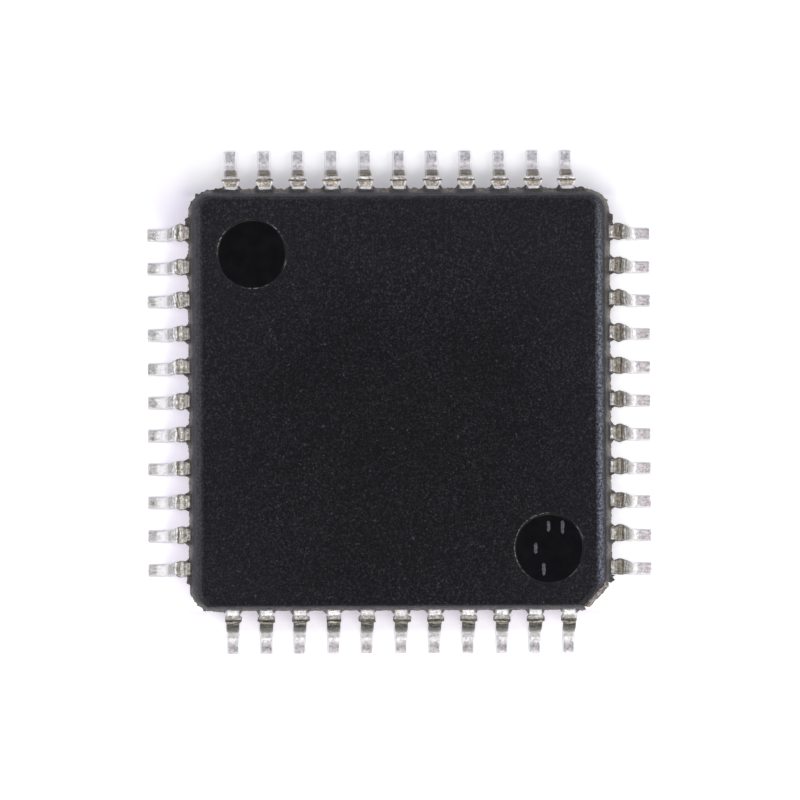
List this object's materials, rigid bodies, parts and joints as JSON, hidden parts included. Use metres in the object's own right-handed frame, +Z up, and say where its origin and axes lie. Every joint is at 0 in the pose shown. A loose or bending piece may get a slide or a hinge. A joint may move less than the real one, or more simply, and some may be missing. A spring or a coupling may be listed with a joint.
{
  "type": "quad flat pack chip",
  "caption": "Square black moulded chip package with gull-wing leads on all four sides for soldering to a circuit board.",
  "frame": {"origin": "on the seating plane of the leads, under the middle of the body", "axes": "+Z up from the circuit board through the top face, +X to the right and +Y away from the viewer with lead 1 at the upper left"},
  "size_m": [0.012, 0.012, 0.0015],
  "materials": {
    "moulding_compound": "fine-grained satin black",
    "tinned_lead": "patchy matte tin plate on copper alloy",
    "copper_alloy": "stamped, bare",
    "silver_epoxy": "matt, silver filled",
    "silicon": "polished",
    "gold_wire": "bright drawn wire"
  },
  "bodies": {
    "root": {"package_body": "moulding_compound", "lead_1": "tinned_lead", "lead_2": "tinned_lead", "lead_3": "tinned_lead", "lead_4": "tinned_lead", "lead_5": "tinned_lead", "lead_6": "tinned_lead", "lead_7": "tinned_lead", "lead_8": "tinned_lead", "lead_9": "tinned_lead", "lead_10": "tinned_lead", "lead_11": "tinned_lead", "lead_12": "tinned_lead", "lead_13": "tinned_lead", "lead_14": "tinned_lead", "lead_15": "tinned_lead", "lead_16": "tinned_lead", "lead_17": "tinned_lead", "lead_18": "tinned_lead", "lead_19": "tinned_lead", "lead_20": "tinned_lead", "lead_21": "tinned_lead", "lead_22": "tinned_lead", "lead_23": "tinned_lead", "lead_24": "tinned_lead", "lead_25": "tinned_lead", "lead_26": "tinned_lead", "lead_27": "tinned_lead", "lead_28": "tinned_lead", "lead_29": "tinned_lead", "lead_30": "tinned_lead", "lead_31": "tinned_lead", "lead_32": "tinned_lead", "lead_33": "tinned_lead", "lead_34": "tinned_lead", "lead_35": "tinned_lead", "lead_36": "tinned_lead", "lead_37": "tinned_lead", "lead_38": "tinned_lead", "lead_39": "tinned_lead", "lead_40": "tinned_lead", "lead_41": "tinned_lead", "lead_42": "tinned_lead", "lead_43": "tinned_lead", "lead_44": "tinned_lead", "die_paddle": "copper_alloy", "die_attach": "silver_epoxy", "silicon_die": "silicon", "bond_wires_left": "gold_wire", "bond_wires_bottom": "gold_wire", "bond_wires_right": "gold_wire", "bond_wires_top": "gold_wire"}
  },
  "joints": []
}
